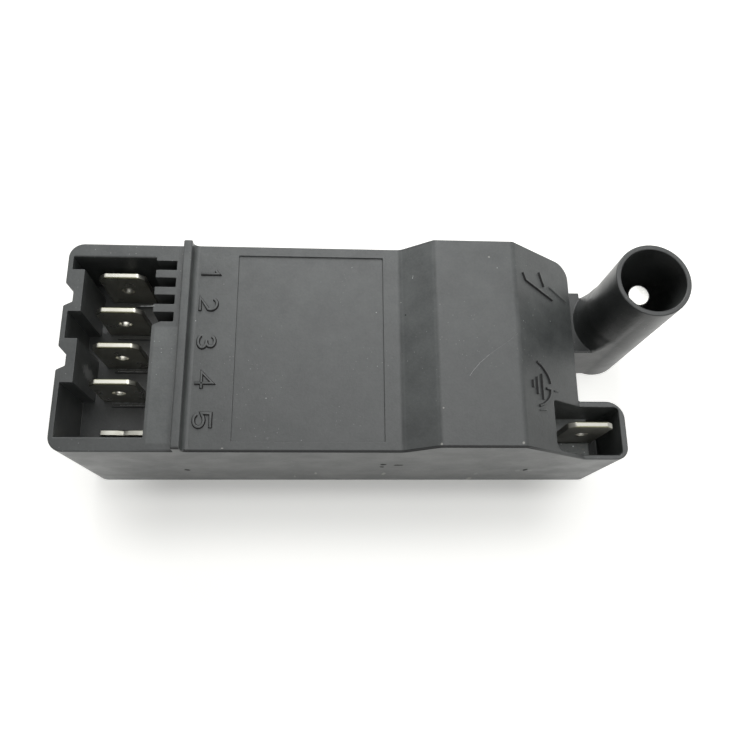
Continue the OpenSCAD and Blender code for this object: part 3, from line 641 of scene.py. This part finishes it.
def shell_tree():
    """Every CAD face, to find which edges can be seen from outside."""
    points, faces = [], []
    for o in nodes.values():
        start = len(points)
        points += [v.co.copy() for v in o.data.vertices]
        faces += [[start + i for i in p.vertices] for p in o.data.polygons]
    return BVHTree.FromPolygons(points, faces)


open_air = shell_tree()


def seen(edge):
    """True where some way out leads from the edge to the open."""
    a, b = (f.normal for f in edge.link_faces)
    out = a + b
    if out.length < 1e-6:
        return False
    out.normalize()
    start = (edge.verts[0].co + edge.verts[1].co) / 2 + out * LOOK_FROM * MM
    ways = (out, a, b, out + UP, out - UP, out + UP * 3)
    return any(open_air.ray_cast(start, w.normalized())[0] is None for w in ways if w.length > 0.1)


def even_widths(mesh, widths):
    """Edges that run on into each other take the smallest width of their chain."""
    chain = {index: index for index in widths}

    def head(index):
        while chain[index] != index:
            index = chain[index]
        return index

    for vertex in mesh.verts:
        meeting = [e for e in vertex.link_edges if e.index in widths]
        for i, a in enumerate(meeting):
            way_a = (a.other_vert(vertex).co - vertex.co).normalized()
            for b in meeting[i + 1:]:
                way_b = (b.other_vert(vertex).co - vertex.co).normalized()
                if way_a.dot(way_b) < -math.cos(math.radians(CHAIN_DEG)):
                    chain[head(a.index)] = head(b.index)
    least = {}
    for index, width in widths.items():
        least[head(index)] = min(width, least.get(head(index), width))
    return {index: least[head(index)] for index in widths}


def split_rings(mesh, z, cuts):
    """Faces at height z that ring an opening, cut in two across x, away from its corners."""
    def level():
        return [f for f in mesh.faces if f.normal.z > 0.999 and
                all(abs(case_mm(v.co)[2] - z) < 0.01 for v in f.verts)]

    for x in cuts:
        faces = level()
        edges = {e for f in faces for e in f.edges}
        verts = {v for f in faces for v in f.verts}
        bmesh.ops.bisect_plane(mesh, geom=faces + list(edges) + list(verts), dist=1e-7,
                               plane_co=at(x, 0, z), plane_no=Vector((1, 0, 0)))
    flat = set(level())
    spare = [e for e in mesh.edges if len(e.link_faces) == 2 and flat.issuperset(e.link_faces) and
             not any(all(abs(case_mm(v.co)[0] - x) < 1e-3 for v in e.verts) for x in cuts)]
    bmesh.ops.dissolve_edges(mesh, edges=spare, use_verts=False)


def edge_widths(mesh, width_of):
    """Width of the rounding of each sharp edge that can be seen, by the edge's index."""
    widths = {}
    for edge in mesh.edges:
        if len(edge.link_faces) != 2:
            continue
        if edge.calc_face_angle(0) < math.radians(SHARP_DEG) or not seen(edge):
            continue
        width = width_of(edge, (edge.verts[0].co + edge.verts[1].co) / 2)
        if width > 0:
            widths[edge.index] = width
    return even_widths(mesh, widths)


def softened(node, name, surface, width_of, rings=None):
    """A copy of a CAD node with its visible edges rounded; it stands for that node."""
    mesh = bmesh.new()
    mesh.from_mesh(nodes[node].data)
    bmesh.ops.remove_doubles(mesh, verts=mesh.verts, dist=WELD)
    bmesh.ops.dissolve_degenerate(mesh, dist=WELD, edges=mesh.edges)
    bmesh.ops.dissolve_limit(mesh, angle_limit=math.radians(FLAT_DEG), verts=mesh.verts,
                             edges=mesh.edges, use_dissolve_boundaries=False)
    mesh.normal_update()
    if rings:
        split_rings(mesh, *rings)
        mesh.normal_update()
    layer = mesh.edges.layers.float.new("bevel_weight_edge")
    mesh.edges.index_update()
    mesh.edges.ensure_lookup_table()
    widths = edge_widths(mesh, width_of)
    widest = max(widths.values())
    for index, width in widths.items():
        mesh.edges[index][layer] = width / widest
    piece = new_piece(name, mesh)
    bevel = piece.modifiers.new("round", "BEVEL")
    bevel.limit_method = "WEIGHT"
    bevel.width = widest * MM
    bevel.segments = ROUND_STEPS
    bevel.use_clamp_overlap = False
    bevel.miter_outer = "MITER_ARC"
    dressed(piece, surface)
    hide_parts(node)


# How far off a plane an edge still counts as on it, in millimetres
NEAR = 0.05


def housing_width(edge, middle):
    """Radius of a moulded edge in millimetres, by where it is."""
    x, y, z = case_mm(middle)
    a, b = (v.co for v in edge.verts)
    along_y = abs(a.y - b.y) > 0.9 * edge.calc_length()
    in_socket = abs(y) < SOCKET_Y + 2 * NEAR
    blade_wells = in_socket and SOCKET_X0 < x < SLOT_X1 and z < SOCKET_FLOOR + 0.6
    panel = PANEL_X0 - NEAR < x < PANEL_X1 + NEAR and abs(y) < PANEL_Y + NEAR and z > 20
    coding_slots = in_socket and SOCKET_X1 - NEAR < x < SLOT_X1 + 0.2
    keys = in_socket and NEAR < x < KEY_X1
    base_rim = z < 0.5
    pocket_rim = x > EARTH_X0 and y < EARTH_Y1 - 0.5
    pocket = x > EARTH_X0 and y < EARTH_Y1 + 2 * NEAR
    arm_top = x > CASE_LEN + 2 * NEAR and ARM_Y0 < y < ARM_Y1 and ARM_H < z < 20
    tower = math.hypot(x - TOWER_X, y - TOWER_Y) < TOWER_R + 2 * NEAR and z > 12
    back_corner = x > CASE_LEN - 1.2 and y > 11.5
    ramps = along_y and z > END_H + 0.5 and x > RIB_X1 + 1.5 and abs(y) < CASE_W / 2
    rib = RIB_X0 - NEAR < x < RIB_X1 + 0.9
    # The first row that holds gives the radius: of an outer corner, and of an inner one
    rows = [
        (blade_wells or panel, 0.05, 0.05),
        (coding_slots and y > SOCKET_Y - 0.5, 0.05, 0.05),
        (coding_slots, 0.1, 0.1),
        (keys, 0.07, 0.07),
        (x < KEY_X1, 0.2, 0.2),
        (base_rim and pocket_rim, 0.05, 0.05),
        (base_rim, 0.15, 0.15),
        (arm_top, 0.0, 0.0),
        (pocket, 0.17, 0.25),
        (tower, 0.2, 0.2),
        (back_corner, 0.1, 0.1),
        (ramps, 0.5, 0.5),
        (rib, 0.2, 0.1),
        (True, 0.25, 0.15),
    ]
    outer, inner = next(radii for holds, *radii in rows if holds)
    return outer if edge.is_convex else inner


# Height over which a tab's edges lead the plug in, and the longest facet of its hole
LEAD_IN_Z = 17.5
HOLE_FACET = 0.5


def tab_width(edge, middle):
    """A sheared edge, broader where the plug is led in and finer round the hole."""
    if edge.calc_length() < HOLE_FACET * MM:
        return 0.04
    return 0.2 if case_mm(middle)[2] > LEAD_IN_Z else 0.12


def pin_width(edge, middle):
    """The pin's tip is rounded more than its foot."""
    return 0.1 if case_mm(middle)[2] > 20 else 0.05


# Where the flat top is cut across, so that no face rings the socket or the panel
RING_CUTS = (8.0, 32.0)

softened("housing", "moulded_case", plastic, housing_width,
         rings=(CASE_H, RING_CUTS))
for tab, metal in tabs.items():
    softened(tab, f"{tab}_blade", metal, tab_width)
softened("hv_pin", "pin_body", pin_metal, pin_width)


# Raised marks

# How deep a ridge's foot is sunk, and how much higher each further stroke of a mark is, so that
# the tops of crossing strokes don't share a plane
SINK = 0.05
STROKE_STEP = 0.004
# Width of the rounding of a ridge's edges, and how much an edge bends that gets it
MARK_ROUND = 0.04
MARK_SHARP_DEG = 40


def ridge(mesh, path, normal, base, top, height):
    """A flat-topped ridge along path, on the surface with that normal, with mitred corners."""
    steps = [(q - p).normalized() for p, q in zip(path, path[1:])]
    rings = []
    for i, p in enumerate(path):
        ahead = steps[max(0, i - 1):i + 1]
        way = sum(ahead, Vector()).normalized()
        spread = 1.0 / max(0.5, way.dot(ahead[0]))
        side = normal.cross(way) * spread
        foot = p - normal * SINK * MM
        head = p + normal * height * MM
        rings.append([mesh.verts.new(foot - side * base / 2 * MM),
                      mesh.verts.new(head - side * top / 2 * MM),
                      mesh.verts.new(head + side * top / 2 * MM),
                      mesh.verts.new(foot + side * base / 2 * MM)])
    for a, b in zip(rings, rings[1:]):
        for i in range(3):
            mesh.faces.new((a[i], a[i + 1], b[i + 1], b[i]))
    mesh.faces.new(rings[0][::-1])
    mesh.faces.new(rings[-1])


def mark(name, strokes, normal, surface, base, top, height):
    """One object of ridges along the strokes, which are lists of points in the row frame.

    The ridges are base wide at the foot, top wide at the top and height high, in millimetres.
    """
    mesh = bmesh.new()
    for i, path in enumerate(strokes):
        ridge(mesh, path, normal, base, top, height + STROKE_STEP * i)
    bmesh.ops.recalc_face_normals(mesh, faces=mesh.faces)
    piece = new_piece(name, mesh)
    bevel = piece.modifiers.new("round", "BEVEL")
    bevel.width = min(MARK_ROUND, height / 3) * MM
    bevel.segments = 2
    bevel.angle_limit = math.radians(MARK_SHARP_DEG)
    dressed(piece, surface)


def arc(cx, cy, r, start, end, steps=12):
    """Points of an arc from start to end, in degrees."""
    angles = [math.radians(start + (end - start) * i / steps) for i in range(steps + 1)]
    return [(cx + r * math.cos(a), cy + r * math.sin(a)) for a in angles]


def oval(cx, cy, rx, ry, start, end, steps=12):
    """Points of an upright oval's arc from start to end, in degrees."""
    return [(cx + (x - cx) * rx, cy + (y - cy) * ry) for x, y in arc(cx, cy, 1.0, start, end, steps)]


# Each digit's strokes, with u to its right and v up, in millimetres from the middle of its foot
DIGITS = {
    "1": [[(0, -0.12), (0, 2.2), (-0.45, 1.8)]],
    "2": [arc(0.05, 1.37, 0.82, 150, -20) + [(-0.78, 0), (1.0, 0)]],
    "3": [oval(-0.03, 1.62, 0.72, 0.55, 160, -80, 10) + [(-0.15, 1.1)],
          [(-0.15, 1.1)] + oval(-0.02, 0.55, 0.87, 0.55, 75, -160)],
    "4": [[(0.47, -0.15), (0.47, 2.17), (-1.0, 0.74), (1.17, 0.74)]],
    "5": [[(0.95, 2.15), (-0.9, 2.15), (-0.93, 0.98)] + oval(0, 0.66, 0.88, 0.66, 140, -155)],
}
DIGIT_FOOT_X = 17.83
DIGIT_Y = {"1": 10.05, "2": 5.75, "3": 0.4, "4": -4.8, "5": -10.2}

digit_plastic = flank_shaded_plastic("digit plastic", UP)
for digit, strokes in DIGITS.items():
    paths = [[at(DIGIT_FOOT_X + v, DIGIT_Y[digit] - u, CASE_H) for u, v in s] for s in strokes]
    mark(f"digit_{digit}", paths, UP, digit_plastic, base=0.56, top=0.28, height=0.3)

RAMP_NORMAL = Vector((FAR_SLOPE, 0, 1)).normalized()


def on_ramp(points):
    """Points (x, y) of the case's frame set on the ramp down to the end wall."""
    return [at(x, y, HUMP_H - FAR_SLOPE * (x - HUMP_END)) for x, y in points]


FLASH = [
    [(61.0, 10.15), (61.4, 9.2), (66.0, 7.75)],
    [(63.9, 11.2), (64.6, 9.25)],
]
FLASH_TAIL = [
    [(65.6, 9.6), (68.6, 8.35)],
]
EARTH_SIGN = [
    [(62.3, -2.25), (63.0, -2.6), (63.5, -3.1), (64.0, -3.7), (64.3, -4.3), (64.4, -4.85)],
    [(64.35, -5.6), (64.3, -6.2), (64.0, -6.9), (63.6, -7.4), (63.0, -7.9), (62.2, -8.3)],
    [(63.6, -5.65), (64.3, -5.6)],
    [(61.4, -4.95), (61.4, -6.0)],
    [(62.1, -4.4), (62.1, -6.75)],
    [(62.95, -3.8), (62.95, -7.3)],
]
EARTH_DASHES = [
    [(62.3, -8.85), (63.4, -8.6)],
    [(65.0, -5.68), (65.65, -5.6)],
]
sign_plastic = flank_shaded_plastic("sign plastic", RAMP_NORMAL)
# Name, strokes, material, and the ridges' width at the foot, width at the top and height
SIGNS = [
    ("flash_sign", FLASH, sign_plastic, 0.46, 0.2, 0.26),
    ("flash_tail", FLASH_TAIL, plastic, 0.4, 0.22, 0.2),
    ("earth_sign", EARTH_SIGN, sign_plastic, 0.44, 0.2, 0.24),
    ("earth_dashes", EARTH_DASHES, plastic, 0.3, 0.14, 0.16),
]
for name, strokes, surface, base, top, height in SIGNS:
    mark(name, [on_ramp(s) for s in strokes], RAMP_NORMAL, surface, base, top, height)


# Wear: a curved scratch across the hump
SCRATCH = [(52.9, -4.9), (53.4, -4.2), (54.3, -3.15), (55.55, -2.05), (56.8, -1.15),
           (58.35, -0.05), (59.55, 0.95)]
mark("hump_scratch", [[at(x, y, HUMP_H) for x, y in SCRATCH]], UP, scuffed_plastic(),
     base=0.07, top=0.04, height=0.008)


# Flash of the mould: lips at the feet of two tabs, and a strand at a tooth's tip
LIP_Z = SOCKET_FLOOR + 0.35
FLASH_LIPS = {
    "foot_lip_3": [[(4.9, -0.4, SOCKET_FLOOR), (9.25, -0.4, SOCKET_FLOOR)],
                   [(5.2, -0.8, LIP_Z), (9.3, -0.8, LIP_Z)]],
    "foot_lip_4": [[(4.7, -5.3, SOCKET_FLOOR), (9.2, -5.3, SOCKET_FLOOR)],
                   [(5.9, -5.72, LIP_Z), (9.25, -5.7, LIP_Z)]],
    "tooth_strand": [[(12.0, 5.36, CASE_H - 0.04), (11.6, 5.33, CASE_H),
                      (10.75, 5.29, CASE_H), (10.0, 5.3, CASE_H - 0.02)]],
}
lip = flash_plastic()
for name, strokes in FLASH_LIPS.items():
    mark(name, [[at(*p) for p in s] for s in strokes], UP, lip, base=0.13, top=0.08, height=0.03)


# Light, floor and camera

FLOOR_SIZE = 12.0
FLOOR_ALBEDO = 0.8
FLOOR_TINT = (1.0, 1.0, 0.975)
# Glow that the floor has for seen rays only; it rises to full white between two distances, in metres
FLOOR_LIFT = 0.62
FAR_FLOOR = (0.1, 0.5)
# Painted shadow on the floor before the case's front, taken off the glow: the loss, and the
# distances in millimetres over which it fades
PAINTED_FLOOR_SHADOWS = ((0.22, 0.0, 4.0), (0.2, 4.5, 13.5))
# Where that painted shadow is none and where it is whole, in millimetres: by the case's ends and its
# back
SHADE_LEFT, SHADE_RIGHT, SHADE_BACK = (-2, 12), (77, 64), (12, 2)
# Name, direction from the part, distance and size in metres, and level on a face turned to it
LAMPS = [
    ("back", (0.0, 0.766, 0.643), 0.26, 0.14, 0.47),
    ("back left", (-0.453, 0.785, 0.423), 0.5, 0.26, 0.16),
    ("above", (0.0, 0.276, 0.961), 0.5, 0.26, 0.2),
    ("right", (0.498, 0.181, 0.848), 0.5, 0.26, 0.17),
    ("front right", (0.265, -0.459, 0.848), 0.5, 0.26, 0.26),
    ("below", (0.38, 0.3, -0.875), 0.6, 0.16, 0.3),
]


def seen_rays(tree):
    """1 for rays of the camera, of gloss and of glass, and 0 for the light that falls on things."""
    path = tree.nodes.new("ShaderNodeLightPath").outputs
    return calc(tree, "MAXIMUM", path["Is Camera Ray"], path["Is Glossy Ray"],
                path["Is Transmission Ray"])


def blended(tree, share, a, b):
    """Shader a where share is 0 and b where it is 1."""
    mix = tree.nodes.new("ShaderNodeMixShader")
    for socket, source in zip(mix.inputs, (share, a, b)):
        tree.links.new(source, socket)
    return mix.outputs["Shader"]


def white_world():
    """White for seen rays, and no light on the object."""
    world = bpy.data.worlds.new("studio")
    bpy.context.scene.world = world
    world.use_nodes = True
    tree = world.node_tree
    white = tree.nodes["Background"]
    unlit = tree.nodes.new("ShaderNodeBackground")
    for background, strength in ((white, 1.0), (unlit, 0.0)):
        background.inputs["Color"].default_value = (1, 1, 1, 1)
        background.inputs["Strength"].default_value = strength
    sky = blended(tree, seen_rays(tree), unlit.outputs[0], white.outputs[0])
    tree.links.new(sky, tree.nodes["World Output"].inputs["Surface"])


def faded(tree, value, start, end):
    """0 up to start and 1 from end on, with a soft change between."""
    node = tree.nodes.new("ShaderNodeMapRange")
    node.interpolation_type = "SMOOTHSTEP"
    node.inputs["From Min"].default_value = min(start, end)
    node.inputs["From Max"].default_value = max(start, end)
    node.inputs["To Min"].default_value = 0.0 if start < end else 1.0
    node.inputs["To Max"].default_value = 1.0 if start < end else 0.0
    tree.links.new(value, node.inputs["Value"])
    return node.outputs["Result"]


def floor_glow(tree):
    """Strength of the floor's glow: lowered by a painted shadow before the case's front, and full
    white far off.
    """
    place = tree.nodes.new("ShaderNodeNewGeometry").outputs["Position"]
    parts = tree.nodes.new("ShaderNodeSeparateXYZ")
    tree.links.new(place, parts.inputs["Vector"])
    x, y = parts.outputs["X"], parts.outputs["Y"]
    beside = calc(tree, "MULTIPLY",
                  faded(tree, y, *(at(0, edge, 0).y for edge in SHADE_BACK)),
                  faded(tree, x, *(at(edge, 0, 0).x for edge in SHADE_LEFT)),
                  faded(tree, x, *(at(edge, 0, 0).x for edge in SHADE_RIGHT)))
    level = FLOOR_LIFT
    # Painted shadow: the glow lessened before the case's front
    for loss, near, far in PAINTED_FLOOR_SHADOWS:
        shade = faded(tree, y, at(0, FRONT - far, 0).y, at(0, FRONT - near, 0).y)
        level = calc(tree, "ADD", level, calc(tree, "MULTIPLY", beside, shade, -loss))
    reach = tree.nodes.new("ShaderNodeVectorMath")
    reach.operation = "LENGTH"
    tree.links.new(place, reach.inputs[0])
    far_off = faded(tree, reach.outputs["Value"], *FAR_FLOOR)
    level = calc(tree, "ADD", level, calc(tree, "MULTIPLY", far_off, 1 - FLOOR_LIFT))
    return calc(tree, "MULTIPLY", seen_rays(tree), level)


def white_table():
    """Pale floor material, clear from below and to shadow rays, so that the low lamp shines in."""
    mat = bpy.data.materials.new("white table")
    mat.use_nodes = True
    tree = mat.node_tree
    tree.nodes.remove(tree.nodes["Principled BSDF"])
    paper = tree.nodes.new("ShaderNodeBsdfDiffuse")
    paper.inputs["Color"].default_value = (*(FLOOR_ALBEDO * c for c in FLOOR_TINT), 1)
    lift = tree.nodes.new("ShaderNodeEmission")
    lift.inputs["Color"].default_value = (*FLOOR_TINT, 1)
    tree.links.new(floor_glow(tree), lift.inputs["Strength"])
    both = tree.nodes.new("ShaderNodeAddShader")
    tree.links.new(paper.outputs[0], both.inputs[0])
    tree.links.new(lift.outputs[0], both.inputs[1])
    clear = tree.nodes.new("ShaderNodeBsdfTransparent")
    passing = calc(tree, "MAXIMUM", tree.nodes.new("ShaderNodeNewGeometry").outputs["Backfacing"],
                   tree.nodes.new("ShaderNodeLightPath").outputs["Is Shadow Ray"])
    surface = blended(tree, passing, both.outputs[0], clear.outputs[0])
    tree.links.new(surface, tree.nodes["Material Output"].inputs["Surface"])
    return mat


def white_floor():
    """The floor that the case stands on, which is no part of it."""
    data = bpy.data.meshes.new("floor")
    h = FLOOR_SIZE / 2
    data.from_pydata([(-h, -h, 0), (h, -h, 0), (h, h, 0), (-h, h, 0)], [], [(0, 1, 2, 3)])
    floor = bpy.data.objects.new("floor", data)
    bpy.context.scene.collection.objects.link(floor)
    data.materials.append(white_table())


def soft_light(name, direction, distance, size, level):
    """Square lamp that gives about level on a face turned to it, from that direction."""
    data = bpy.data.lights.new(name, "AREA")
    data.shape = "SQUARE"
    data.size = size
    data.energy = level * math.pi * math.pi * distance * distance
    light = bpy.data.objects.new(name, data)
    bpy.context.scene.collection.objects.link(light)
    way = Vector(direction).normalized()
    light.location = way * distance
    light.rotation_mode = "QUATERNION"
    light.rotation_quaternion = way.to_track_quat("Z", "Y")


CAMERA_AT = (34.576, -32.932, 115.298)
CAMERA_TURN = (0.299565, -0.064843, -0.010513)
FOCAL_PIXELS = 750.9
FRAME_PIXELS = 750
SENSOR = 36.0


def photo_camera():
    """The photograph's camera: its place and turn, and a lens of its focal length."""
    data = bpy.data.cameras.new("camera")
    data.sensor_width = SENSOR
    data.lens = SENSOR * FOCAL_PIXELS / FRAME_PIXELS
    data.clip_start = 0.005
    data.clip_end = 10
    camera = bpy.data.objects.new("camera", data)
    bpy.context.scene.collection.objects.link(camera)
    camera.location = at(*CAMERA_AT)
    camera.rotation_euler = CAMERA_TURN
    bpy.context.scene.camera = camera


white_world()
white_floor()
for lamp in LAMPS:
    soft_light(*lamp)
photo_camera()
bpy.context.scene.view_settings.view_transform = "Standard"
